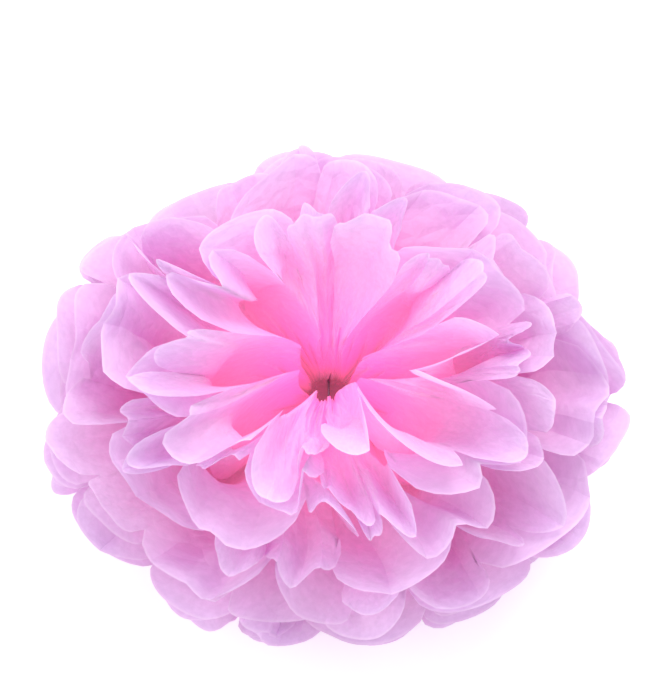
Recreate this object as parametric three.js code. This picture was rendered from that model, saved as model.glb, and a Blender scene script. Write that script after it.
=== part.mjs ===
// A tissue paper pom pom, 250 mm across: twelve pleated sheets of tissue, gathered and tied at
// their middle with one wire, then fanned out and pulled apart layer by layer into petals.
// Millimetres, +Z up, the tie's wire loop in the YZ plane, resting on z = 0.
import * as THREE from "three";

// ---- driving dimensions (mm, degrees) -----------------------------------------------------
const SHEETS = 12; // half of them are pulled up, half down
const PANELS = 8; // flat panels between pleats in each fan of a sheet
const PLEAT_SPAN = 52; // how wide a panel springs open, ruffles included; it sets the pleats' depth
const PETAL_LENGTH = 118; // from the gathered middle to the trimmed tip
const SCALLOP = 14; // how much shorter the trimmed sheet is at a fold line than at a tip
const HUB_RADIUS = 7; // the gathered middle under the wire
const HUB_PITCH = 1.2; // height each gathered sheet takes in the middle
const PAPER = 0.5; // modelled thickness, standing in for tissue of about 0.04 mm
const GAP = 3.2; // least spacing kept between neighbouring sheets, along the fanned direction
const TIE_HEIGHT = 82; // the tied middle above the table
const FLAT_PITCH = 1.3; // spacing of the sheets pressed flat on the table
const FLAT_BLEND = 4; // how gently a petal bends where it meets the table
const SQUASH = 0.84; // the ball is narrower across the fans' seam than along them
const CLEAR = 2.2; // least spacing square to the paper
const CLOSEST_STEP = 6; // degrees of elevation between sheets where the middle crowds them
const WIRE_RADIUS = 0.45;
const CENTRING = [-1.4, -0.35]; // moves the tied middle so that the whole ball is centred on Z
const FAN_HUB = 80; // half angle of a fan at the middle; at the rim:
const FAN_RIM_UP = 91; // the upper sheets' fans lap over each other, the lower ones just part
const FAN_RIM_DOWN = 86;
const SEAM_SWING = 0.5; // the last folds, where the two fans meet, swing less
const POLE_LIMIT = 84; // no petal leans past this elevation
const TABLE_LIMIT = 48; // the table holds the tips of the lowest petals up to this elevation
const DEEPEST_PLEAT = 24; // degrees of elevation a crowded pleat swings up or down

// Mean elevation of each sheet, from the crown to the underside, and its pleat swing at the rim.
const LAYER = [61, 52, 42, 32, 22, 11, 0, -11, -22, -33, -43, -52];
const RIM_SWING = [11, 9, 8, 8, 7, 7, 7, 7, 7, 7, 7, 7];

// The upper sheets are opened by hand: how far, and which panels of their two fans stand broad.
const OPENED = [1, 1, 1, 0.8, 0.5, 0.2];
const BROAD = 38; // degrees round the rim that a broad panel takes
const NARROW = 14; // and a panel left closed
const BROAD_PANELS = [
  [[0, 4, 7], [2, 5]],
  [[2, 5], [0, 3, 6]],
  [[1, 4, 6], [1, 4, 7]],
  [[0, 3, 6], [2, 5]],
  [[2, 5], [1, 4, 6]],
  [[1, 4, 7], [0, 3, 6]],
];
// One petal of the crown leans in over the middle: degrees at two folds of the first fan.
const LEAN_IN = [8, 14];

// ---- small helpers ------------------------------------------------------------------------
const rad = (deg) => (deg * Math.PI) / 180;
const clamp = (x, lo, hi) => Math.min(Math.max(x, lo), hi);
const smooth = (lo, hi, x) => {
  const t = clamp((x - lo) / (hi - lo), 0, 1);
  return t * t * (3 - 2 * t);
};
// A repeatable scatter in -1..1: no two hand-opened petals are alike.
const scatter = (a, b, c) => {
  const x = Math.sin(a * 12.9898 + b * 78.233 + c * 37.719 + 2.4) * 43758.5453;
  return 2 * (x - Math.floor(x)) - 1;
};
// Straight-line interpolation through [x, y] pairs.
const through = (pairs, x) => {
  if (x <= pairs[0][0]) return pairs[0][1];
  for (let i = 1; i < pairs.length; i++) {
    const [x0, y0] = pairs[i - 1];
    const [x1, y1] = pairs[i];
    if (x <= x1) return y0 + ((y1 - y0) * (x - x0)) / (x1 - x0);
  }
  return pairs[pairs.length - 1][1];
};

// ---- one pleated fan ----------------------------------------------------------------------
// A point of a fan is given by its panel, the fraction v across that panel, and its distance q
// along the petal. The fold between two panels swings up and down in turn.
const looseness = (k) => (k < SHEETS / 2 ? 1 : 0.6); // the weight above keeps the lower ones tidier
const fanRim = (k) => (k < SHEETS / 2 ? FAN_RIM_UP : FAN_RIM_DOWN);
const opened = (k) => OPENED[k] ?? 0;
const broad = (k, half, i) => (BROAD_PANELS[k] ? BROAD_PANELS[k][half].includes(i) : false);

// Where fold i lies between a fan's two edges, 0 to 1.
function rimShare(k, half, i) {
  const width = (n) => (broad(k, half, n) ? BROAD : NARROW);
  let [before, all] = [0, 0];
  for (let n = 0; n < PANELS; n++) {
    all += width(n);
    if (n < i) before += width(n);
  }
  return i / PANELS + (before / all - i / PANELS) * opened(k);
}

// +1 where fold i stands up at the rim, -1 where it stands down: up on both sides of a broad panel.
function rimSide(k, half, i) {
  const up = (n) => broad(k, half, n) || broad(k, half, n - 1);
  if (i === 0) return up(0) || !up(1) ? 1 : -1;
  if (i === PANELS) return up(PANELS) || !up(PANELS - 1) ? 1 : -1;
  return up(i) ? 1 : -1;
}

function pleatSwing(k, q) {
  const arc = (HUB_RADIUS + q * Math.cos(rad(LAYER[k]))) * rad((2 * fanRim(k)) / PANELS);
  const depth = 0.5 * Math.sqrt(Math.max(PLEAT_SPAN ** 2 - arc * arc, 0));
  const swing = (depth / Math.max(q, 1)) * (180 / Math.PI);
  return Math.max(Math.min(swing, DEEPEST_PLEAT), RIM_SWING[k]) * smooth(0, 20, q);
}

function fold(k, half, i, q) {
  const t = q / PETAL_LENGTH;
  const j = i + 20 * half;
  const atHub = -FAN_HUB + (2 * FAN_HUB * i) / PANELS;
  let atRim = -fanRim(k) + (2 * fanRim(k) * i) / PANELS;
  const parted = 2 * fanRim(k) * (rimShare(k, half, i) - i / PANELS);
  const atSeam = i === 0 || i === PANELS;
  if (atSeam) {
    // Where the two fans of a sheet meet, the edges wander together.
    const wander = 5 * scatter(k, i === 0 ? -1 : 1, 21);
    atRim += half === 0 ? wander : -wander;
  } else {
    atRim += 4 * scatter(0, j, 1) + 2.5 * looseness(k) * scatter(k, j, 2);
  }
  const azimuth = atHub + (atRim - atHub) * smooth(0, 0.55, t) + parted * smooth(0.4, 0.9, t);
  const pleated = i % 2 === 0 ? -1 : 1;
  const side = pleated + (rimSide(k, half, i) - pleated) * opened(k) * smooth(0.45, 0.85, t);
  const bow = 8.4 * (LAYER[k] / 64) * (1 - 2 * t);
  const tip = clamp((t - 0.5) / 0.5, 0, 2) ** 2;
  const elevation =
    LAYER[k] +
    bow +
    side * (atSeam ? SEAM_SWING : 1) * pleatSwing(k, q) *
      (1 + 0.2 * scatter(k, j, 3) * smooth(0.1, 0.4, t)) +
    5 * looseness(k) * scatter(k, j, 4) * smooth(0.2, 1, t) +
    8 * looseness(k) * scatter(k, j, 5) * tip +
    (k === 0 && half === 0 ? (LEAN_IN[i] ?? 0) : 0) * smooth(0.3, 1, t);
  return [azimuth, elevation];
}

// How one panel is cupped, curled, lengthened and skewed.
function panelShape(k, half, i) {
  const j = i + 20 * half;
  const plain = (scatter(0, j, 7) > -0.2 ? 1 : -1) * (0.6 + 0.4 * scatter(k, j, 8));
  const spoon = -1.3 + 0.3 * scatter(k, j, 8); // a broad petal is hollow towards the middle
  return {
    cup: broad(k, half, i) ? plain + (spoon - plain) * opened(k) : plain,
    curl: 9 * scatter(k, j, 9),
    longer: 4 * scatter(k, j, 10),
    skew: 0.2 * scatter(k, j, 11),
  };
}

function fanPoint(k, half, i, v, q) {
  const [az0, el0] = fold(k, half, i, q);
  const [az1, el1] = fold(k, half, i + 1, q);
  const { cup, curl, skew } = panelShape(k, half, i);
  const w = v + 2 * skew * v * (1 - v);
  const bump = 4 * w * (1 - w);
  const t = q / PETAL_LENGTH;
  const tip = clamp((t - 0.5) / 0.5, 0, 2) ** 2;
  const cupping = through([[0, 4], [0.3, 8], [0.6, 8], [1, 6], [1.1, 5.5]], t);
  const ruffle = 1.6 * Math.sin(5.3 * (i + v) + 2.1 * k + half) * smooth(0.45, 1, t);
  return {
    azimuth: az0 + (az1 - az0) * v,
    elevation: rad(el0 + (el1 - el0) * v + cup * bump * cupping + curl * bump * tip + ruffle),
  };
}

function rimLength(k, half, i, v) {
  const { longer, skew } = panelShape(k, half, i);
  const w = v + 2 * skew * v * (1 - v);
  const corner = 1 - Math.sqrt(Math.max(1 - Math.abs(2 * w - 1) ** 2.8, 0));
  return PETAL_LENGTH + longer * 4 * w * (1 - w) - SCALLOP * corner;
}

// The grid of a fan: columns across the panels, points along each petal.
const ACROSS = [0, 0.3, 0.7]; // fractions across a panel, then the next fold
const ALONG = [0, 0.07, 0.2, 0.38, 0.58, 0.8, 1]; // fractions along a petal

function fanColumns(k, half) {
  const columns = [];
  for (let i = 0; i <= PANELS; i++) {
    for (const v of i < PANELS ? ACROSS : [1]) {
      const panel = Math.min(i, PANELS - 1);
      const rim = rimLength(k, half, panel, v);
      columns.push(ALONG.map((s) => {
        const p = fanPoint(k, half, panel, v, s * rim);
        return { q: s * rim, elevation: p.elevation,
          azimuth: half === 0 ? p.azimuth : 180 - p.azimuth };
      }));
    }
  }
  return half === 0 ? columns : columns.reverse();
}

// ---- keeping the sheets apart -------------------------------------------------------------
// The half sheets lie over one another in this order from the top. Each is sampled as elevation
// over azimuth and distance. Working outwards from the middle of the stack, any half sheet that
// dips into the ones before it has the points of its grid moved clear.
const AZIMUTHS = 360;
const RINGS = 48;
const SWEEPS = 8;
const EDGE_MARGIN = 5; // degrees past a fan's edge that are kept clear as well
const ringDistance = (r) => 3 + ((PETAL_LENGTH + 3) * r) / (RINGS - 1);
const nearestRing = (q) => clamp(((q - 3) * (RINGS - 1)) / (PETAL_LENGTH + 3), 0, RINGS - 1);
const cell = (a, r) => (((a % AZIMUTHS) + AZIMUTHS) % AZIMUTHS) * RINGS + r;

const stack = [];
for (let k = 0; k < SHEETS; k++) {
  for (const half of [k % 2, 1 - (k % 2)]) stack.push({ k, half, columns: fanColumns(k, half) });
}

// Where distance q falls in a column: its row, the fraction t to the next row, and the azimuth.
function inColumn(column, q) {
  let r = 0;
  while (r < column.length - 2 && column[r + 1].q < q) r++;
  const t = (q - column[r].q) / (column[r + 1].q - column[r].q);
  const azimuth = column[r].azimuth + (column[r + 1].azimuth - column[r].azimuth) * t;
  return { column, r, t, azimuth };
}
const elevationIn = ({ column, r, t }) =>
  column[r].elevation + (column[r + 1].elevation - column[r].elevation) * t;

// Elevation between two columns, over the same two triangles that the solid is made of.
function between(left, right, s) {
  if (left.r !== right.r) return elevationIn(left) * (1 - s) + elevationIn(right) * s;
  const r = left.r;
  const t = left.t * (1 - s) + right.t * s;
  const [a, b] = [left.column[r].elevation, left.column[r + 1].elevation];
  const [d, c] = [right.column[r].elevation, right.column[r + 1].elevation];
  return t > s ? a + t * (b - a) + s * (c - b) : a + s * (d - a) + t * (c - d);
}

function elevationTable(columns) {
  const table = new Float64Array(AZIMUTHS * RINGS).fill(NaN);
  for (let ring = 0; ring < RINGS; ring++) {
    const line = columns.map((column) => inColumn(column, ringDistance(ring)));
    const last = line.length - 1;
    const from = Math.ceil(line[0].azimuth - EDGE_MARGIN);
    const to = Math.floor(line[last].azimuth + EDGE_MARGIN);
    let c = 0;
    for (let a = from; a <= to; a++) {
      while (c < last - 1 && line[c + 1].azimuth < a) c++;
      const s = (a - line[c].azimuth) / (line[c + 1].azimuth - line[c].azimuth);
      table[cell(a, ring)] = between(line[c], line[c + 1], clamp(s, 0, 1));
    }
  }
  return table;
}

// The least elevation between sheets: GAP, or more where a steep fold wall would bring their
// faces closer than CLEAR, but never more than the crowded middle has room for.
const step = (q, wanted = GAP) => Math.min(wanted / Math.max(q, 1), rad(CLOSEST_STEP));
function steepStep(table, at) {
  const a = Math.floor(at / RINGS);
  const r = at % RINGS;
  const q = ringDistance(r);
  const rise = (table[cell(a + 1, r)] - table[cell(a - 1, r)]) * q;
  const run = rad(2) * (HUB_RADIUS + q * Math.cos(table[at]));
  const slope = Number.isNaN(rise) ? 0 : rise / run;
  return step(q, Math.max(GAP, CLEAR * Math.hypot(1, slope)));
}

// Moves half sheet m clear of bound, up (+1) or down (-1), then adds it to bound.
function settle(m, bound, direction) {
  const { columns } = stack[m];
  const table = elevationTable(columns);
  const short = (at) => direction * (bound[at] - table[at]) + steepStep(table, at);
  const moves = columns.map((column, c) => column.map((point, r) => {
    const halfway = (other) => (point.azimuth + other[r].azimuth) / 2;
    const before = halfway(columns[Math.max(c - 1, 0)]);
    const after = halfway(columns[Math.min(c + 1, columns.length - 1)]);
    const inner = nearestRing((point.q + column[Math.max(r - 1, 0)].q) / 2);
    const outer = nearestRing(r === column.length - 1 ? PETAL_LENGTH * 1.1
      : (point.q + column[r + 1].q) / 2);
    let most = 0;
    for (let a = Math.floor(before); a <= Math.ceil(after); a++) {
      for (let n = Math.floor(inner); n <= Math.ceil(outer); n++) {
        const need = short(cell(a, n));
        if (need > most) most = need;
      }
    }
    const outside = (direction > 0 ? m : stack.length - 1 - m) / 2; // sheets beyond this one
    const steepest = direction > 0 ? POLE_LIMIT
      : POLE_LIMIT - (POLE_LIMIT - TABLE_LIMIT) * (point.q / PETAL_LENGTH) ** 2;
    const limit = rad(steepest) - outside * step(point.q);
    return direction * Math.min(direction * point.elevation + most, limit) - point.elevation;
  }));
  columns.forEach((column, c) => column.forEach((point, r) => {
    point.elevation += moves[c][r];
  }));
  elevationTable(columns).forEach((e, at) => {
    if (!Number.isNaN(e)) bound[at] = direction * Math.max(direction * bound[at], direction * e);
  });
}

// The two half sheets next to the middle, one for each fan, start each pass.
function startFrom(m, direction) {
  const bound = new Float64Array(AZIMUTHS * RINGS).fill(-9 * direction);
  for (const { columns } of [stack[m], stack[m + 1]]) {
    elevationTable(columns).forEach((e, at) => {
      if (!Number.isNaN(e)) bound[at] = direction * Math.max(direction * bound[at], direction * e);
    });
  }
  return bound;
}

const middle = SHEETS; // half of the two half sheets a sheet
for (let sweep = 0; sweep < SWEEPS; sweep++) {
  const under = startFrom(middle, 1);
  for (let m = middle - 1; m >= 0; m--) settle(m, under, 1);
  const over = startFrom(middle - 2, -1);
  for (let m = middle; m < stack.length; m++) settle(m, over, -1);
}

// ---- from fan coordinates to space --------------------------------------------------------
// The ball as handled: gently pushed about, and a little narrower across the seam.
function handled(p) {
  const wave = (2 * Math.PI) / 95;
  const reach = 3.2 * clamp((p.length() - 10) / 90, 0, 1);
  const { x, y, z } = p;
  return new THREE.Vector3(
    x + reach * (Math.sin(wave * y + 1.1) + 0.8 * Math.sin(1.3 * wave * z + 0.4)),
    (y + reach * (Math.sin(1.1 * wave * x + 2.3) + 0.8 * Math.sin(1.2 * wave * z + 2))) * SQUASH,
    z + reach * 0.7 * (Math.sin(0.9 * wave * x + 0.2) + Math.sin(1.2 * wave * y + 3.9)),
  );
}

// Petals that reach the table bend and lie flat on it, one sheet over another.
function ontoTable(z, level) {
  const d = z - level;
  if (d >= FLAT_BLEND) return z;
  if (d <= -FLAT_BLEND) return level;
  return level + (d + FLAT_BLEND) ** 2 / (4 * FLAT_BLEND);
}

// face is +1 for the upper side of the paper and -1 for the lower.
function place(k, azimuth, elevation, q, face) {
  const lift = elevation * smooth(0, 6, q);
  const out = HUB_RADIUS + q * Math.cos(lift) - face * (PAPER / 2) * Math.sin(lift);
  const up = q * Math.sin(lift) + face * (PAPER / 2) * Math.cos(lift);
  const hub = ((SHEETS - 1) / 2 - k) * HUB_PITCH;
  const a = rad(azimuth);
  const p = handled(new THREE.Vector3(out * Math.cos(a), out * Math.sin(a), up + hub));
  const level = (SHEETS - 1 - k) * FLAT_PITCH + (face > 0 ? PAPER : 0);
  return p.set(p.x + CENTRING[0], p.y + CENTRING[1], ontoTable(p.z + TIE_HEIGHT, level));
}

// ---- one sheet as a closed solid ----------------------------------------------------------
function sheetGeometry(k) {
  const positions = [];
  const faces = [];
  const add = (p) => positions.push(p.x, p.y, p.z) / 3 - 1;
  const quad = (a, b, c, d) => faces.push(a, b, c, a, c, d);

  const sides = [1, -1].map((face) => {
    const fans = [0, 1].map((half) => {
      const { columns } = stack.find((one) => one.k === k && one.half === half);
      return columns.map((column) => column.map(({ azimuth, elevation, q }) =>
        add(place(k, azimuth, elevation, q, face))));
    });
    const hub = ((SHEETS - 1) / 2 - k) * HUB_PITCH + TIE_HEIGHT + face * (PAPER / 2);
    return { fans, centre: add(new THREE.Vector3(...CENTRING, hub)) };
  });

  const [top, under] = sides;
  const ring = (side) => side.fans.flatMap((columns) => columns.map((column) => column[0]));
  const [ringTop, ringUnder] = [ring(top), ring(under)];
  ringTop.forEach((a, n) => {
    const next = (n + 1) % ringTop.length;
    faces.push(top.centre, a, ringTop[next], under.centre, ringUnder[next], ringUnder[n]);
    // The two slits where the wire passes between the fans.
    if (next === 0 || next === ringTop.length / 2) {
      quad(ringUnder[n], ringUnder[next], ringTop[next], a);
    }
  });
  for (const half of [0, 1]) {
    const up = top.fans[half];
    const down = under.fans[half];
    const last = ALONG.length - 1;
    for (let c = 0; c < up.length - 1; c++) {
      for (let r = 0; r < last; r++) {
        quad(up[c][r], up[c][r + 1], up[c + 1][r + 1], up[c + 1][r]);
        quad(down[c][r], down[c + 1][r], down[c + 1][r + 1], down[c][r + 1]);
      }
      quad(down[c][last], down[c + 1][last], up[c + 1][last], up[c][last]);
    }
    const end = up.length - 1;
    for (let r = 0; r < last; r++) {
      quad(down[0][r], down[0][r + 1], up[0][r + 1], up[0][r]);
      quad(down[end][r + 1], down[end][r], up[end][r], up[end][r + 1]);
    }
  }
  const geometry = new THREE.BufferGeometry();
  geometry.setAttribute("position", new THREE.Float32BufferAttribute(positions, 3));
  geometry.setIndex(faces);
  return geometry;
}

// ---- the wire -----------------------------------------------------------------------------
// A closed loop round the gathered stack, passing through the slits between the fans.
class WireLoop extends THREE.Curve {
  getPoint(t) {
    const halfWidth = HUB_RADIUS * SQUASH + WIRE_RADIUS + 0.6;
    const halfHeight = (SHEETS * HUB_PITCH) / 2 + WIRE_RADIUS + 0.8;
    const angle = 2 * Math.PI * t;
    const c = Math.cos(angle);
    const s = Math.sin(angle);
    const square = 1 / (Math.abs(c) ** 6 + Math.abs(s) ** 6) ** (1 / 6);
    return new THREE.Vector3(CENTRING[0], CENTRING[1] + c * square * halfWidth,
      TIE_HEIGHT + s * square * halfHeight);
  }
}

// ---- assembly -----------------------------------------------------------------------------
const group = new THREE.Group();
for (let k = 0; k < SHEETS; k++) {
  const share = k / (SHEETS - 1);
  const tissue = new THREE.MeshStandardMaterial({
    color: new THREE.Color("#f8b4e8").lerp(new THREE.Color("#e9a6de"), share),
    roughness: 0.85,
    metalness: 0,
    side: THREE.DoubleSide,
    flatShading: true,
  });
  const sheet = new THREE.Mesh(sheetGeometry(k), tissue);
  sheet.name = `tissue_sheet_${String(k + 1).padStart(2, "0")}`;
  group.add(sheet);
}
const wire = new THREE.Mesh(
  new THREE.TubeGeometry(new WireLoop(), 48, WIRE_RADIUS, 8, true),
  new THREE.MeshStandardMaterial({ color: "#b9bcc0", roughness: 0.35, metalness: 1 }),
);
wire.name = "centre_tie_wire";
group.add(wire);

export default group;
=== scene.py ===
# %% [markdown]
# # A tissue paper pom pom
# This lesson builds a ball of ruffled tissue petals, about 25 cm across. A real one is made from a
# stack of twelve tissue sheets. The stack is pleated like a fan, bound round the middle with a
# wire, its ends are cut round, and it is spread into two fans. Then each sheet is pulled up or
# down, one after another, until the ball is full. The script follows the same steps with numbers:
# fold lines first, then panels between the folds, then the sheets are moved clear of each other.

# %% Load the frame
import bpy
import math
import numpy as np
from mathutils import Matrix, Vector


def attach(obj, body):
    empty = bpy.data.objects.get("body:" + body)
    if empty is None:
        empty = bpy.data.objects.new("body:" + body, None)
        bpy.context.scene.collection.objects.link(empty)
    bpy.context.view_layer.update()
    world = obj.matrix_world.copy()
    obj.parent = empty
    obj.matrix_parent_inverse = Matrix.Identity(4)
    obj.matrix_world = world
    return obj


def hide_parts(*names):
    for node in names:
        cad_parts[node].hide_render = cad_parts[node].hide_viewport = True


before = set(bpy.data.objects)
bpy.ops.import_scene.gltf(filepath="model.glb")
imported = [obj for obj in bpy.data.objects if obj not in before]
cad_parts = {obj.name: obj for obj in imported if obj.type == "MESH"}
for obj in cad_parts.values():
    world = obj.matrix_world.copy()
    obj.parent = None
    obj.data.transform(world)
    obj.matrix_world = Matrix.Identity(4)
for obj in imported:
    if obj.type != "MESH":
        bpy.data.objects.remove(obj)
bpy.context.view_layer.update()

# %% [markdown]
# ## The stack of paper
# Lengths are in millimetres and angles in degrees, as a paper worker would measure them, unless a
# comment says otherwise. The flat sheet is 330 by 250 mm and is pleated into eight panels. A point
# of the opened ball is given by its azimuth round the tie, its elevation, and its distance along
# the petal. Those three numbers make it easy to keep sheets in order: one sheet lies over another
# when its elevation is larger at the same azimuth and distance.

# %% Sizes of the paper and the ball
SHEETS = 12              # six are pulled up, six down
PANELS = 8               # panels between folds, in each of a sheet's two fans
PANEL_WIDTH = 41.25      # flat width of a panel
PLEAT_SPAN = 52.0        # how wide a panel springs open, ruffles included
PETAL_LENGTH = 118.0     # from the gathered middle to the cut tip
SCALLOP = 14.0           # how much shorter the round cut leaves the sheet at a fold
HUB_RADIUS = 7.0         # the gathered middle under the wire
HUB_PITCH = 1.2          # height that each gathered sheet takes in the middle
TIE_HEIGHT = 82.0        # the tied middle above the table
SQUASH = 0.84            # the ball is narrower across the seam of its fans
CENTRING = (-1.4, -0.35)     # where the tied middle stands, so that the ball is centred
PAPER = 0.5              # paper thickness of the frame's solids; the meshes lie in its middle
# Mean elevation of each sheet from the crown to the underside, and its pleat swing at the rim.
LAYER = [61, 52, 42, 32, 22, 11, 0, -11, -22, -33, -43, -52]
RIM_SWING = [11, 9, 8, 8, 7, 7, 7, 7, 7, 7, 7, 7]
FAN_HUB = 86.0           # half angle of a fan at the tie
FAN_RIM_UP, FAN_RIM_DOWN = 91.0, 90.0    # and at its rim, above and below the middle
ACROSS = 16     # mesh columns across one panel
ALONG = 64     # mesh rows along a petal
print(SHEETS, "sheets,", SHEETS * 2 * PANELS, "panels")

# %% Two small helpers
SEED = 2.4
SECOND_FAN = 20          # folds and panels of a sheet's second fan are numbered from here


def scatter(a, b, c):
    """A repeatable scatter in -1..1: no two hand-opened petals are alike."""
    x = math.sin(a * 12.9898 + b * 78.233 + c * 37.719 + SEED) * 43758.5453
    return 2 * (x - math.floor(x)) - 1


def smooth(low, high, x):
    """0 below low, 1 above high, and an even S between them."""
    t = np.clip((x - low) / (high - low), 0, 1)
    return t * t * (3 - 2 * t)


print("scatter gives", [round(scatter(0, n, 0), 2) for n in range(5)])

# %% [markdown]
# ## Broad petals
# Fingers that open a pom pom pull some panels out flat and leave their neighbours folded. The
# flat ones become the broad, spoon-shaped petals of the crown, and the folded ones stand between
# them as narrow walls. A table says which panels of each sheet are broad. They could also be drawn
# at random, but a written table lets them show between the broad petals of the sheet above.

# %% Which panels are opened
OPENED = [1, 1, 1, 0.8, 0.5, 0.2]    # how far a sheet's panels are opened, from the crown down
BROAD, NARROW = 38.0, 14.0           # degrees round the rim taken by a broad and a folded panel
BROAD_PANELS = [[[0, 4, 7], [2, 5]], [[2, 5], [0, 3, 6]], [[1, 4, 6], [1, 4, 7]],
                [[0, 3, 6], [2, 5]], [[2, 5], [1, 4, 6]], [[1, 4, 7], [0, 3, 6]]]
LEAN_IN = {(0, 0, 0): 8, (0, 0, 1): 14}    # (sheet, fan, fold): degrees it leans to the middle


def opened(k):
    """How far the panels of sheet k are opened, 0 to 1."""
    return OPENED[k] if k < len(OPENED) else 0


def broad(k, half, i):
    """True where panel i of a fan is one of the broad ones."""
    return k < len(BROAD_PANELS) and i in BROAD_PANELS[k][half]


def rim_share(k, half, i):
    """Where fold i lies between a fan's two edges, 0 to 1."""
    widths = [BROAD if broad(k, half, n) else NARROW for n in range(PANELS)]
    even = i / PANELS
    return even + (sum(widths[:i]) / sum(widths) - even) * opened(k)


def rim_side(k, half, i):
    """+1 where fold i stands up at the rim, -1 where it stands down."""
    def up(n):
        return broad(k, half, n) or broad(k, half, n - 1)
    if i in (0, PANELS):
        return 1 if up(i) or not up(1 if i == 0 else PANELS - 1) else -1
    return 1 if up(i) else -1


print("crown folds stand", [rim_side(0, 0, i) for i in range(PANELS + 1)])

# %% [markdown]
# ## Fold lines
# A fold line starts in the tight bunch at the tie, swings up or down like the teeth of a
# concertina, and spreads as it leaves the middle. The swing is what is left of the panel's width
# after the room round the circle has been used, so pleats are deep near the tie and shallow at
# the rim. That is Pythagoras on the panel's width.

# %% One fold line
DEEPEST_PLEAT = 24.0     # degrees of elevation a crowded pleat swings up or down
PLEATS_START = 20.0      # mm over which the pleats rise out of the flat bunch at the tie
SEAM_SWING = 0.5         # the last folds, where the two fans meet, swing less
SEAM_CLOSED = 0.25       # share of the length by which the two fans meet
FANNED_OUT = 0.55        # and by which the other folds have spread
SEAM_WANDER = 5          # degrees the seam between the fans moves from sheet to sheet
FOLD_WANDER = 4          # degrees a fold moves sideways in all sheets alike
SHEET_WANDER = 2.5       # and in each sheet by itself
RISE, TIP_BEND = 5, 8    # degrees a fold is pulled up or down, in all and at its tip
BOW, BOW_AT = 8.4, 64    # degrees a fold bows along its length, in a sheet of that elevation


def fan_rim(k):
    """Half angle of a fan of sheet k at its rim."""
    return FAN_RIM_UP if k < SHEETS / 2 else FAN_RIM_DOWN


def looseness(k):
    """1 for the upper sheets, and less for the lower ones, which the weight above keeps tidier."""
    return 1.0 if k < SHEETS / 2 else 0.6


def pleat_swing(k, q):
    """Degrees that the folds of sheet k swing up and down at the distances q."""
    arc = (HUB_RADIUS + q * math.cos(math.radians(LAYER[k]))) * math.radians(2 * fan_rim(k) / PANELS)
    depth = 0.5 * np.sqrt(np.maximum(PLEAT_SPAN ** 2 - arc * arc, 0))
    swing = np.degrees(depth / np.maximum(q, 1))
    return np.maximum(np.minimum(swing, DEEPEST_PLEAT), RIM_SWING[k]) * smooth(0, PLEATS_START, q)


def fold(k, half, i, q):
    """Azimuth and elevation, in degrees, of fold i of a fan at the distances q."""
    t = q / PETAL_LENGTH
    j = i + SECOND_FAN * half
    at_hub = -FAN_HUB + 2 * FAN_HUB * i / PANELS
    at_rim = -fan_rim(k) + 2 * fan_rim(k) * i / PANELS
    parted = 2 * fan_rim(k) * (rim_share(k, half, i) - i / PANELS)
    at_seam = i in (0, PANELS)
    if at_seam:
        wander = SEAM_WANDER * scatter(k, -1 if i == 0 else 1, 21)
        at_rim += wander if half == 0 else -wander
    else:
        at_rim += FOLD_WANDER * scatter(0, j, 1) + SHEET_WANDER * looseness(k) * scatter(k, j, 2)
    # smooth(a, b, t) brings a change in between the shares a and b of the petal's length.
    fanned = smooth(0, SEAM_CLOSED if at_seam else FANNED_OUT, t)
    azimuth = at_hub + (at_rim - at_hub) * fanned + parted * smooth(0.4, 0.9, t)
    pleated = -1 if i % 2 == 0 else 1
    side = pleated + (rim_side(k, half, i) - pleated) * opened(k) * smooth(0.45, 0.85, t)
    bow = BOW * (LAYER[k] / BOW_AT) * (1 - 2 * t)
    tip = np.clip((t - 0.5) / 0.5, 0, 2) ** 2
    elevation = (LAYER[k] + bow
                 + side * pleat_swing(k, q) * (1 + 0.2 * scatter(k, j, 3) * smooth(0.1, 0.4, t))
                 * (SEAM_SWING if at_seam else 1)
                 + RISE * looseness(k) * scatter(k, j, 4) * smooth(0.2, 1, t)
                 + TIP_BEND * looseness(k) * scatter(k, j, 5) * tip
                 + LEAN_IN.get((k, half, i), 0) * smooth(0.3, 1, t))
    return azimuth, elevation


print("pleats of the crown swing", round(float(pleat_swing(0, np.array(60.0))), 1), "degrees half way")

# %% [markdown]
# ## Gathers and creases
# Tissue is thin enough to remember every touch. Close to the wire each panel is crushed into
# small gathers, and further out short creases cross the petals at all angles. A gather is a
# zigzag wave and a crease is a little tent with a straight ridge. Real geometry is used for both,
# since they catch the light from the side. Only the finest crumple and grain are left to the
# material.

# %% Gathers and creases
GATHERS = 4              # small waves in each panel near the wire
GATHER_DEPTH = 3.6       # mm from the middle of a wave to its crest
CREASES = 46             # short creases in each fan
CREASE_HEIGHT = 3.2      # mm, the most that one stands up or dips
CREASE_START = 20        # mm along the petal; nearer the tie a crease shrinks with the distance


def gathers(v, q):
    """Elevation change (radians) a fraction v across a panel."""
    wave = abs((v * GATHERS) % 1 - 0.5) * 4 - 1
    return wave * GATHER_DEPTH * smooth(2, 22, q) * (1 - smooth(28, 70, q)) / np.maximum(q, 1)


def creases(k, half, across, q):
    """Elevation change (radians) at a place on the flat paper, in mm."""
    total = np.zeros_like(q)
    own = k + 0.5 * half
    for n in range(CREASES):
        # The middle of the crease on the flat paper, its turn in radians, and its size in mm.
        x0 = (0.5 + 0.5 * scatter(own, n, 31)) * PANELS * PANEL_WIDTH
        y0 = (0.66 + 0.36 * scatter(own, n, 32)) * PETAL_LENGTH
        turn = 1.1 * scatter(own, n, 33)
        length = 24 + 14 * scatter(own, n, 34)
        width = 6.5 + 3.5 * scatter(own, n, 35)
        height = CREASE_HEIGHT * scatter(own, n, 36)
        along = (across - x0) * math.sin(turn) + (q - y0) * math.cos(turn)
        off = (across - x0) * math.cos(turn) - (q - y0) * math.sin(turn)
        tent = np.maximum(1 - np.abs(off) / width, 0)
        total += height * tent * np.clip(1 - (along / length) ** 2, 0, 1)
    return total / np.maximum(q, CREASE_START)


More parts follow.
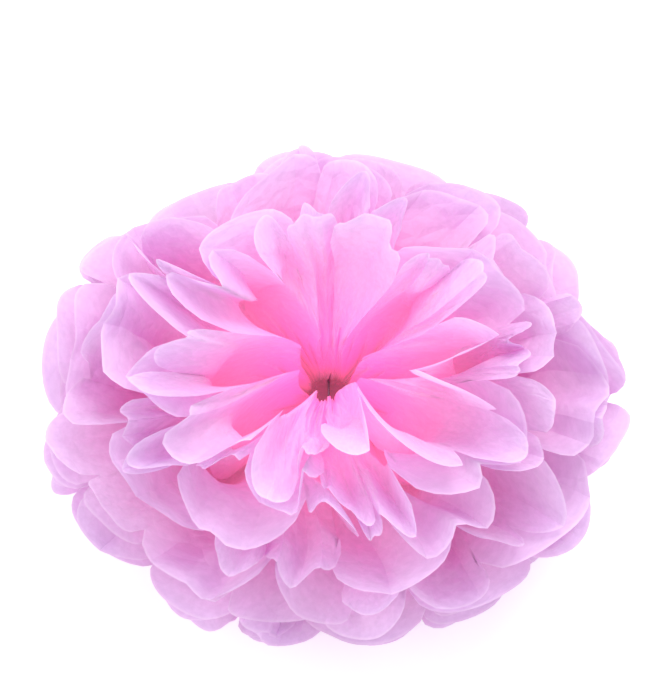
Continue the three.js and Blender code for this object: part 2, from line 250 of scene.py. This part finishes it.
print(CREASES * SHEETS * 2, "creases in all")

# %% [markdown]
# ## Panels
# Between two folds the paper bulges one way or the other, its tip curls, and its end is cut
# round. A broad panel always bulges outwards, like a spoon held to the middle. The bulge is not
# smooth: the paper was folded and unfolded, so three long creases divide it into flat facets.

# %% Across one panel
CUT_POWER = 2.8          # 2 would cut the end to an ellipse, and more leaves it squarer


def long_creases(k, j):
    """The columns of a panel, its two folds included, that are creased from end to end."""
    middle = [round(ACROSS * (at + 0.09 * scatter(k, j, 12 + n)))
              for n, at in enumerate((0.25, 0.5, 0.76))]
    return [0] + middle + [ACROSS]


def bulge(v, k, j):
    """How far a panel stands out a fraction v across it: flat facets between its long creases."""
    places = [column / ACROSS for column in long_creases(k, j)]
    heights = [4 * at * (1 - at) * (1 + 0.5 * scatter(k, j, 15 + n)) for n, at in enumerate(places)]
    return 0.2 * 4 * v * (1 - v) + 0.8 * float(np.interp(v, places, heights))


def trimmed(w):
    """How much the round cut takes off a fraction w across a panel, as a share of the scallop."""
    return 1 - math.sqrt(max(1 - abs(2 * w - 1) ** CUT_POWER, 0))


print("a crown panel bulges", [round(bulge(n / 8, 0, 0), 2) for n in range(9)])

# %% One fan as a grid of points
TIP_CURL = 9             # degrees a panel's tip curls up or down
LONGER = 4               # mm a petal may be longer or shorter than its neighbours
LOPSIDED = 0.2           # how far a petal's tip lies to one side
CUP_AT = [0, 0.3, 0.6, 1, 1.1]    # places along the petal
CUP = [4, 8, 8, 6, 5.5]           # and how far, in degrees, a panel bulges there
RUFFLE, RUFFLES = 1.6, 5.3        # degrees the rim waves, and how fast from panel to panel


def fan(k, half):
    """Azimuth (degrees), elevation (radians), distance, place across the paper, and mm to the cut."""
    columns, crisp = [], []
    for c in range(PANELS * ACROSS + 1):
        i = min(c // ACROSS, PANELS - 1)
        v = c / ACROSS - i
        j = i + SECOND_FAN * half
        cup = (1 if scatter(0, j, 7) > -0.2 else -1) * (0.6 + 0.4 * scatter(k, j, 8))
        if broad(k, half, i):
            cup += (-1.3 + 0.3 * scatter(k, j, 8) - cup) * opened(k)
        curl, longer = TIP_CURL * scatter(k, j, 9), LONGER * scatter(k, j, 10)
        w = v + 2 * LOPSIDED * scatter(k, j, 11) * v * (1 - v)
        bump = 4 * w * (1 - w)
        rim = PETAL_LENGTH + longer * bump - SCALLOP * trimmed(w)
        q = np.linspace(0, rim, ALONG + 1)
        t = q / PETAL_LENGTH
        tip = np.clip((t - 0.5) / 0.5, 0, 2) ** 2
        azimuth0, elevation0 = fold(k, half, i, q)
        azimuth1, elevation1 = fold(k, half, i + 1, q)
        cupping = cup * bulge(v, k, j) * np.interp(t, CUP_AT, CUP)
        ruffle = RUFFLE * math.sin(RUFFLES * (i + v) + 2.1 * k + half) * smooth(0.45, 1, t)
        bent = elevation0 + (elevation1 - elevation0) * v + cupping + curl * bump * tip + ruffle
        across = (i + v) * PANEL_WIDTH
        crisp.append(c - i * ACROSS in long_creases(k, j))
        columns.append((azimuth0 + (azimuth1 - azimuth0) * v,
                        np.radians(bent) + gathers(v, q) + creases(k, half, across, q),
                        q, np.full_like(q, across), rim - q))
    azimuth, elevation, q, across, to_cut = (np.array(part) for part in zip(*columns))
    if half:
        azimuth, elevation, q, across, to_cut, crisp = (
            180 - azimuth[::-1], elevation[::-1], q[::-1], across[::-1], to_cut[::-1], crisp[::-1])
    return dict(k=k, half=half, azimuth=azimuth, elevation=elevation, q=q, across=across, to_cut=to_cut,
                crisp=crisp)


# The two fans of a sheet take turns to come first, so that neither side of the ball is tighter.
stack = [fan(k, half) for k in range(SHEETS) for half in (k % 2, 1 - k % 2)]
print(len(stack), "fans of", stack[0]["q"].size, "points")

# %% [markdown]
# ## Keeping the sheets apart
# Paper can't pass through paper. Cloth simulation could push the sheets apart, but with twelve
# crumpled layers it is slow, and the layers catch on each other. Since the sheets are already in
# order, a table of elevations does it better: working outwards from the middle of the stack, each
# fan that dips into the ones before it is lifted clear by what it lacks.

# %% A table of elevations
RINGS = 48               # distances in the table
FIRST_RING = 3           # mm along the petal; the last ring is just past the longest tip
RING_SPAN = PETAL_LENGTH + FIRST_RING
RING_Q = FIRST_RING + RING_SPAN * np.arange(RINGS) / (RINGS - 1)
EDGE_MARGIN = 5          # degrees past a fan's edge that are kept clear as well


def table_of(one):
    """Elevation over whole degrees of azimuth and ring distances; NaN where the fan doesn't reach."""
    table = np.full((360, RINGS), np.nan)
    q, azimuth, elevation = one["q"], one["azimuth"], one["elevation"]
    azimuths = np.array([np.interp(RING_Q, q[c], azimuth[c]) for c in range(len(q))])
    elevations = np.array([np.interp(RING_Q, q[c], elevation[c]) for c in range(len(q))])
    for r in range(RINGS):
        first = math.ceil(azimuths[0, r] - EDGE_MARGIN)
        last = math.floor(azimuths[-1, r] + EDGE_MARGIN)
        degrees = np.arange(first, last + 1)
        table[degrees % 360, r] = np.interp(degrees, azimuths[:, r], elevations[:, r])
    return table


def sample(table, azimuth, q):
    """Reads the table between its degrees and rings."""
    a = azimuth % 360
    a0 = np.floor(a).astype(int) % 360
    a1 = (a0 + 1) % 360
    fa = a - np.floor(a)
    r = np.clip((q - FIRST_RING) * (RINGS - 1) / RING_SPAN, 0, RINGS - 1.001)
    r0 = r.astype(int)
    fr = r - r0
    return ((table[a0, r0] * (1 - fr) + table[a0, r0 + 1] * fr) * (1 - fa)
            + (table[a1, r0] * (1 - fr) + table[a1, r0 + 1] * fr) * fa)


print("table of", 360 * RINGS, "elevations for each fan")

# %% Lift one fan clear
GAP = 3.2                # mm kept between sheets
CLEAR = 2.2              # mm kept square to a steep wall
CLOSEST_STEP = 6.0       # degrees between sheets where the middle crowds them
POLE_LIMIT = 84.0        # no petal leans past this elevation
TABLE_LIMIT = 48.0       # and no tip hangs steeper than this, because the table holds it up
FAR = 9.0                # radians, beyond any sheet: nothing is in the way yet


def step(q, wanted):
    """The angle that a gap of so many mm takes at the distances q."""
    return np.minimum(wanted / np.maximum(q, 1), math.radians(CLOSEST_STEP))


def spread(table):
    """Each place takes the largest value beside it, and the whole is softened."""
    best = np.maximum(table, np.maximum(np.roll(table, 1, 0), np.roll(table, -1, 0)))
    wide = best.copy()
    wide[:, 1:] = np.maximum(wide[:, 1:], best[:, :-1])
    wide[:, :-1] = np.maximum(wide[:, :-1], best[:, 1:])
    for _ in range(4):
        padded = np.pad(wide, ((0, 0), (1, 1)), mode="edge")
        wide = (np.roll(wide, 1, 0) + np.roll(wide, -1, 0) + 2 * wide
                + padded[:, :-2] + padded[:, 2:]) / 6
    return wide


def include(bound, one, direction):
    """Moves the bound out to a fan that lies past it."""
    table = table_of(one)
    known = ~np.isnan(table)
    bound[known] = direction * np.maximum(direction * bound[known], direction * table[known])


def settle(m, bound, direction):
    """Lifts fan m clear of the bound, up or down, and gives its largest lift."""
    one = stack[m]
    table = table_of(one)
    # How steep the paper is, from the degree before to the degree after.
    rise = (np.roll(table, -1, 0) - np.roll(table, 1, 0)) * RING_Q
    run = math.radians(2) * (HUB_RADIUS + RING_Q * np.cos(table))
    slope = np.nan_to_num(rise / run)
    lacking = direction * (bound - table) + step(RING_Q, np.maximum(GAP, CLEAR * np.hypot(1, slope)))
    lacking = np.nan_to_num(np.maximum(lacking, 0))
    lift = sample(np.maximum(lacking, spread(lacking)), one["azimuth"], one["q"])
    outside = (m if direction > 0 else len(stack) - 1 - m) / 2
    steepest = np.full_like(one["q"], POLE_LIMIT)
    if direction < 0:
        steepest -= (POLE_LIMIT - TABLE_LIMIT) * (one["q"] / PETAL_LENGTH) ** 2
    limit = np.radians(steepest) - outside * step(one["q"], GAP)
    one["elevation"] = direction * np.minimum(direction * one["elevation"] + lift, limit)
    include(bound, one, direction)
    return float(lift.max())


print("a gap takes", round(math.degrees(step(PETAL_LENGTH, GAP)), 2), "degrees at the tips")

# %% Work outwards from the middle
for sweep in range(3):
    largest = 0
    for first, direction, order in ((SHEETS, 1, range(SHEETS - 1, -1, -1)),
                                    (SHEETS - 2, -1, range(SHEETS, 2 * SHEETS))):
        bound = np.full((360, RINGS), -FAR * direction)
        for m in (first, first + 1):
            include(bound, stack[m], direction)
        for m in order:
            largest = max(largest, settle(m, bound, direction))
    print("sweep", sweep + 1, "largest lift", round(math.degrees(largest), 1), "degrees")

# %% [markdown]
# ## Into space
# The three numbers of a point become x, y and z. Handling has pushed the ball about a little, so
# slow waves move it by a few millimetres. Petals that reach the table bend and lie flat on it.

# %% Place the points
FLAT_PITCH = 1.3         # spacing of the sheets pressed flat on the table
FLAT_BLEND = 4.0         # how gently a petal bends where it meets the table
WAVE_LENGTH = 95         # mm from one push of the hands to the next
PUSH = 3.2               # mm that one wave moves the rim; within 10 mm of the tie nothing moves


def handled(x, y, z):
    """A point after handling. The last number in each wave only says where that wave starts."""
    wave = 2 * math.pi / WAVE_LENGTH
    reach = PUSH * np.clip((np.sqrt(x * x + y * y + z * z) - 10) / 90, 0, 1)
    return (x + reach * (np.sin(wave * y + 1.1) + 0.8 * np.sin(1.3 * wave * z + 0.4)),
            (y + reach * (np.sin(1.1 * wave * x + 2.3) + 0.8 * np.sin(1.2 * wave * z + 2))) * SQUASH,
            z + reach * 0.7 * (np.sin(0.9 * wave * x + 0.2) + np.sin(1.2 * wave * y + 3.9)))


def onto_table(z, level):
    """Heights bent so that none is under the level where the sheet lies on the table."""
    d = z - level
    bend = level + (d + FLAT_BLEND) ** 2 / (4 * FLAT_BLEND)
    return np.where(d >= FLAT_BLEND, z, np.where(d <= -FLAT_BLEND, level, bend))


def place(one):
    """Points in metres, columns by rows."""
    k, q = one["k"], one["q"]
    elevation = one["elevation"] * smooth(0, 6, q)
    azimuth = np.radians(one["azimuth"])
    out = HUB_RADIUS + q * np.cos(elevation)
    hub = ((SHEETS - 1) / 2 - k) * HUB_PITCH
    x, y, z = handled(out * np.cos(azimuth), out * np.sin(azimuth), q * np.sin(elevation) + hub)
    level = (SHEETS - 1 - k) * FLAT_PITCH + PAPER / 2
    return np.stack([x + CENTRING[0], y + CENTRING[1], onto_table(z + TIE_HEIGHT, level)], -1) / 1000


print("the crown's first fan reaches", round(1000 * float(place(stack[0])[..., 2].max())), "mm up")

# %% [markdown]
# ## Tissue paper
# The paper is dyed tissue: soft wood fibres pressed to about 0.04 mm and left without a glaze.
# The eye sees a matt sheet with faint clouds in it, and light comes through it, so the deep folds
# glow strong pink while the tips, which get the white light of the room, look pale. So the
# material mixes a matt surface with a see-through one. Its colour is painted deeper towards the
# tie, as painted shade for the light that has passed many layers, and the cut edge has a painted
# highlight, paler where the single layer catches the light and its loose fibres scatter it.

# %% Colour and node helpers
def linear(hex_colour):
    """An sRGB hex colour as linear red, green, blue and alpha."""
    values = [int(hex_colour[i:i + 2], 16) / 255 for i in (1, 3, 5)]
    return [v / 12.92 if v <= 0.04045 else ((v + 0.055) / 1.055) ** 2.4 for v in values] + [1]


def node(material, kind, settings=(), links=()):
    """Adds a node: settings go to its inputs or attributes, links join its inputs to outputs."""
    made = material.node_tree.nodes.new(kind)
    for name, value in dict(settings).items():
        if isinstance(name, str) and hasattr(made, name):
            setattr(made, name, value)
        else:
            made.inputs[name].default_value = value
    for name, source in dict(links).items():
        material.node_tree.links.new(source, made.inputs[name])
    return made


def new_material(name):
    """A material with no nodes in it yet."""
    material = bpy.data.materials.new(name)
    material.use_nodes = True
    material.node_tree.nodes.clear()
    return material


def ramp(material, source, stops):
    """A colour ramp from (position, hex colour) pairs."""
    made = node(material, "ShaderNodeValToRGB", {}, {"Fac": source})
    band = made.color_ramp.elements
    while len(band) < len(stops):
        band.new(0.5)
    for element, (at, colour) in zip(band, stops):
        element.position, element.color = at, linear(colour)
    return made.outputs["Color"]


print("pale pink is", [round(v, 3) for v in linear("#fdbee6")], "in linear light")

# %% Dyed tissue
tissue = new_material("dyed_tissue_paper_unglazed")
petal = node(tissue, "ShaderNodeAttribute", {"attribute_name": "petal"})
flat_place = node(tissue, "ShaderNodeAttribute", {"attribute_name": "flat_place"})
to_cut = node(tissue, "ShaderNodeAttribute", {"attribute_name": "to_cut"})
# Painted shade: the pink is deepest at the tie and palest at the tips. It stands in for light that has
# passed many layers.
painted_depth_pink = ramp(tissue, petal.outputs["Fac"], [(0.0, "#ff86ca"), (0.18, "#ffa6da"), (0.42, "#fdbee6"),
                                          (0.75, "#f9caed"), (1.0, "#f0d2f5")])
# Fibre clouds in tissue are about 3 mm across: 0.33 of them to a millimetre.
clouds = node(tissue, "ShaderNodeTexNoise", {"Scale": 0.33, "Detail": 5, "Roughness": 0.6},
              {"Vector": flat_place.outputs["Vector"]})
cloudy = ramp(tissue, clouds.outputs["Fac"], [(0.3, "#f4f0f4"), (0.7, "#ffffff")])
# Fibre clouds laid over the painted shade of the depth colour.
painted_depth_mottled = node(tissue, "ShaderNodeMix", {"data_type": "RGBA", "blend_type": "MULTIPLY", 0: 1.0},
               {6: painted_depth_pink, 7: cloudy})
# A painted highlight along the cut edge, where the single layer catches the light and loose fibres
# scatter it, fades out within 1.6 mm.
edge = node(tissue, "ShaderNodeMapRange",
            {"From Min": 0.2, "From Max": 1.6, "To Min": 0.45, "To Max": 0.0},
            {"Value": to_cut.outputs["Fac"]})
coloured = node(tissue, "ShaderNodeMix", {"data_type": "RGBA", 7: linear("#fdeafd")},
                {0: edge.outputs["Result"], 6: painted_depth_mottled.outputs[2]})
# Crumpled facets are about 9 mm across, and the fibres themselves 0.3 mm, drawn as 1 mm.
facets = node(tissue, "ShaderNodeTexVoronoi", {"feature": "DISTANCE_TO_EDGE", "Scale": 0.11},
              {"Vector": flat_place.outputs["Vector"]})
fibres = node(tissue, "ShaderNodeTexNoise", {"Scale": 1.0, "Detail": 4, "Roughness": 0.65},
              {"Vector": flat_place.outputs["Vector"]})
crumple = node(tissue, "ShaderNodeBump", {"Strength": 0.6, "Distance": 0.0025},
               {"Height": facets.outputs["Distance"]})
grain = node(tissue, "ShaderNodeBump", {"Strength": 0.25, "Distance": 0.0004},
             {"Height": fibres.outputs["Fac"], "Normal": crumple.outputs["Normal"]})
# Light that has passed through layer after layer fills the heart of the ball. The renderer stops
# after twelve bounces, so a soft glow, strongest near the axis, stands in for the rest of it.
heart = node(tissue, "ShaderNodeAttribute", {"attribute_name": "heart"})
glow = ramp(tissue, heart.outputs["Fac"], [(0.0, "#000000"), (0.35, "#6a666a"), (0.65, "#9a7e94"),
                                           (1.0, "#c878b0")])
# Cellulose has an IOR near 1.47; unglazed paper is almost fully rough.
surface = node(tissue, "ShaderNodeBsdfPrincipled",
               {"Roughness": 0.9, "IOR": 1.47, "Metallic": 0.0, "Specular IOR Level": 0.2,
                "Emission Strength": 0.7},
               {"Base Color": coloured.outputs[2], "Emission Color": glow,
                "Normal": grain.outputs["Normal"]})
through = node(tissue, "ShaderNodeBsdfTranslucent", {},
               {"Color": coloured.outputs[2], "Normal": grain.outputs["Normal"]})
# About two fifths of the light goes through a sheet.
thin = node(tissue, "ShaderNodeMixShader", {0: 0.42}, {1: surface.outputs[0], 2: through.outputs[0]})
node(tissue, "ShaderNodeOutputMaterial", {}, {"Surface": thin.outputs[0]})
print(tissue.name, "with", len(tissue.node_tree.nodes), "nodes")

# %% [markdown]
# ## The sheets as meshes
# Each sheet is one mesh: two fans of small faces that meet in the round gathered middle, as the
# real sheet does under its wire. Folds and long creases are marked sharp, so they stay crisp
# while the paper between them is smooth. Four attributes carry what the material asks for: how
# far along the petal a point is, its place on the flat paper in millimetres, its distance from
# the cut, and how deep in the heart of the ball it lies.

# %% Faces and attributes
COLUMNS, ROWS = PANELS * ACROSS + 1, ALONG + 1
PATTERN_APART = 40.0     # mm between the paper patterns of two sheets
HEART_START, HEART_END = 80, 15      # mm from the axis where the heart begins, and is full
HEART_BELOW, HEART_ABOVE = 10, 40    # it fades in from so far below the tie to so far above


def fan_faces(first):
    """Four-sided faces of one fan, whose points are numbered from first."""
    index = first + np.arange(COLUMNS * ROWS).reshape(COLUMNS, ROWS)
    corners = (index[:-1, :-1], index[:-1, 1:], index[1:, 1:], index[1:, :-1])
    return np.stack(corners, -1).reshape(-1, 4).tolist()


def store(mesh, name, kind, values):
    """Keeps one value for each point of the mesh, under a name that a material can ask for."""
    field = "vector" if kind == "FLOAT_VECTOR" else "value"
    mesh.attributes.new(name, kind, "POINT").data.foreach_set(field, values)


print("one fan has", len(fan_faces(0)), "faces")

# %% Build the sheets
def build_sheet(k):
    """One sheet as a Blender object: two fans and the gathered middle."""
    fans = sorted((one for one in stack if one["k"] == k), key=lambda one: one["half"])
    centre = (CENTRING[0] / 1000, CENTRING[1] / 1000,
              (((SHEETS - 1) / 2 - k) * HUB_PITCH + TIE_HEIGHT) / 1000)
    points = np.concatenate([place(one).reshape(-1, 3) for one in fans] + [[centre]])
    faces = fan_faces(0) + fan_faces(COLUMNS * ROWS)
    ring = [n * COLUMNS * ROWS + c * ROWS for n in (0, 1) for c in range(COLUMNS)]
    middle = len(points) - 1
    faces += [(middle, a, b) for a, b in zip(ring, ring[1:] + ring[:1])]
    mesh = bpy.data.meshes.new("petals")
    mesh.from_pydata(points.tolist(), [], faces)
    mesh.polygons.foreach_set("use_smooth", [True] * len(mesh.polygons))
    ends = np.empty(2 * len(mesh.edges), dtype=np.int32)
    mesh.edges.foreach_get("vertices", ends)
    column = ends.reshape(-1, 2) // ROWS
    crisp = np.array(fans[0]["crisp"] + fans[1]["crisp"] + [False])
    sharp = (column[:, 0] == column[:, 1]) & crisp[column[:, 0]]
    mesh.attributes.new("sharp_edge", "BOOLEAN", "EDGE").data.foreach_set("value", sharp)

    def joined(part, at_centre):
        return np.append(np.concatenate([one[part].ravel() for one in fans]), at_centre)

    q = joined("q", 0.0)
    side = np.append(np.repeat([1.0, -1.0], COLUMNS * ROWS), 0.0)
    flat = [joined("across", 0.0), side * (q + HUB_RADIUS), np.full_like(q, PATTERN_APART * k)]
    from_axis = 1000 * np.hypot(points[:, 0], points[:, 1])
    above = smooth(TIE_HEIGHT - HEART_BELOW, TIE_HEIGHT + HEART_ABOVE, 1000 * points[:, 2])
    heart = np.clip(1 - (from_axis - HEART_END) / (HEART_START - HEART_END), 0, 1) * above
    store(mesh, "petal", "FLOAT", q / PETAL_LENGTH)
    store(mesh, "to_cut", "FLOAT", joined("to_cut", PETAL_LENGTH))
    store(mesh, "flat_place", "FLOAT_VECTOR", np.stack(flat, -1).ravel())
    store(mesh, "heart", "FLOAT", heart)
    mesh.materials.append(tissue)
    sheet = bpy.data.objects.new("petals_%02d" % (k + 1), mesh)
    bpy.context.scene.collection.objects.link(sheet)
    return sheet


sheets = [build_sheet(k) for k in range(SHEETS)]
print(len(sheets), "sheets,", sum(len(s.data.polygons) for s in sheets), "faces")

FLAT = (PANELS * PANEL_WIDTH / 1000, 2 * (PETAL_LENGTH + HUB_RADIUS) / 1000)
mean_cut = SCALLOP * sum(trimmed(n / 200) for n in range(201)) / 201
CUT_AREA = FLAT[0] * (FLAT[1] - 2 * mean_cut / 1000)
for k, sheet in enumerate(sheets):
    share = sum(face.area for face in sheet.data.polygons) / CUT_AREA
    print(sheet.name, "shows", round(share, 3), "of its flat area of", round(CUT_AREA, 4), "m2")
    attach(sheet, "root")
    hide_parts("tissue_sheet_%02d" % (k + 1))

# %% [markdown]
# ## The tie wire
# The tie is galvanised binding wire, 0.9 mm thick: drawn steel dipped in zinc. The eye gets a
# grey metal with a soft, slightly patchy shine. It is a closed loop round the gathered middle,
# made as a bevelled curve, because a curve keeps its round section through tight corners.

# %% Galvanised wire
zinc = new_material("galvanised_steel_wire_drawn")
place_on_wire = node(zinc, "ShaderNodeTexCoord")
# Zinc crystals on fine wire are about 0.5 mm across: 2000 to a metre.
patches = node(zinc, "ShaderNodeTexNoise", {"Scale": 2000, "Detail": 3},
               {"Vector": place_on_wire.outputs["Object"]})
grey = ramp(zinc, patches.outputs["Fac"], [(0.35, "#8f9296"), (0.65, "#bcbfc3")])
dip = node(zinc, "ShaderNodeBump", {"Strength": 0.2, "Distance": 0.00005},
           {"Height": patches.outputs["Fac"]})
metal = node(zinc, "ShaderNodeBsdfPrincipled", {"Metallic": 1.0, "Roughness": 0.42},
             {"Base Color": grey, "Normal": dip.outputs["Normal"]})
node(zinc, "ShaderNodeOutputMaterial", {}, {"Surface": metal.outputs[0]})
print(zinc.name, "with", len(zinc.node_tree.nodes), "nodes")

# %% The wire loop
WIRE_RADIUS = 0.45
BESIDE, OVER = 0.6, 0.8      # mm between the wire and the gathered paper
LOOP_POINTS = 64
half_width = HUB_RADIUS * SQUASH + WIRE_RADIUS + BESIDE
half_height = SHEETS * HUB_PITCH / 2 + WIRE_RADIUS + OVER
curve = bpy.data.curves.new("tie_wire", "CURVE")
curve.dimensions, curve.bevel_depth, curve.bevel_resolution = "3D", WIRE_RADIUS / 1000, 4
loop = curve.splines.new("POLY")
loop.points.add(LOOP_POINTS - 1)
loop.use_cyclic_u = True
for n, point in enumerate(loop.points):
    turn = 2 * math.pi * n / LOOP_POINTS
    c, s = math.cos(turn), math.sin(turn)
    # A circle drawn out towards its corners, to follow the square bunch of paper.
    outwards = 1 / (abs(c) ** 6 + abs(s) ** 6) ** (1 / 6)
    y = CENTRING[1] + c * outwards * half_width
    z = TIE_HEIGHT + s * outwards * half_height
    point.co = (CENTRING[0] / 1000, y / 1000, z / 1000, 1)
curve.materials.append(zinc)
wire = bpy.data.objects.new("tie_wire", curve)
bpy.context.scene.collection.objects.link(wire)
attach(wire, "root")
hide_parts("centre_tie_wire")
print("wire loop", round(2 * half_width, 1), "by", round(2 * half_height, 1), "mm")

# %% [markdown]
# ## The studio
# The ball stands on white paper. Light tissue wants soft light from all round, so the world does
# most of the work. One large lamp behind and above gives the petals their direction, and a weaker
# one fills in from the left. Light has to bounce many times to reach the heart of the ball.

# %% Table
bpy.ops.mesh.primitive_plane_add(size=20)
table = bpy.context.object
table.name = "table"
backdrop = new_material("white_backdrop_paper_matt")
matt_white = node(backdrop, "ShaderNodeBsdfPrincipled",
                  {"Base Color": linear("#ffffff"), "Roughness": 0.9,
                   "Emission Color": linear("#ffffff"), "Emission Strength": 0.25})
node(backdrop, "ShaderNodeOutputMaterial", {}, {"Surface": matt_white.outputs[0]})
table.data.materials.append(backdrop)
print(table.name, "of", backdrop.name)

# %% Lights
world = bpy.data.worlds.new("studio")
bpy.context.scene.world = world
world.use_nodes = True
background = world.node_tree.nodes["Background"]
background.inputs["Color"].default_value = (0.93, 0.95, 1, 1)
background.inputs["Strength"].default_value = 0.9


def soft_lamp(name, at, size, power):
    """A square lamp of a size in metres and a power in watts, turned to the ball."""
    light = bpy.data.lights.new(name, "AREA")
    light.size, light.energy = size, power
    lamp = bpy.data.objects.new(name, light)
    lamp.location = at
    lamp.rotation_euler = (Vector((0, 0, 0.1)) - Vector(at)).to_track_quat("-Z", "Y").to_euler()
    bpy.context.scene.collection.objects.link(lamp)


soft_lamp("key", (0.3, 0.9, 1.3), 1.0, 14)
soft_lamp("fill", (-0.9, -0.3, 1.2), 1.0, 5)
bpy.context.scene.cycles.diffuse_bounces = 12
bpy.context.scene.cycles.max_bounces = 20
print("world light", round(background.inputs["Strength"].default_value, 2), "and two lamps")

# %% [markdown]
# ## The camera
# The ball is seen from almost straight above, 78 degrees up, from far enough to look flat.

# %% Camera
ELEVATION, DISTANCE = math.radians(78), 1.5
FRAME_WIDTH = 0.2906     # metres across the view, at the aim
SENSOR = 36              # mm
AIM = Vector((0, 0.0225, 0.10))
towards = Vector((0, -math.cos(ELEVATION), math.sin(ELEVATION)))
camera = bpy.data.cameras.new("camera")
camera.sensor_width = SENSOR
camera.lens = SENSOR * DISTANCE / FRAME_WIDTH
eye = bpy.data.objects.new("camera", camera)
eye.location = AIM + towards * DISTANCE
eye.rotation_euler = (-towards).to_track_quat("-Z", "Y").to_euler()
bpy.context.scene.collection.objects.link(eye)
bpy.context.scene.camera = eye
bpy.context.scene.view_settings.view_transform = "Standard"
print("lens", round(camera.lens), "mm")
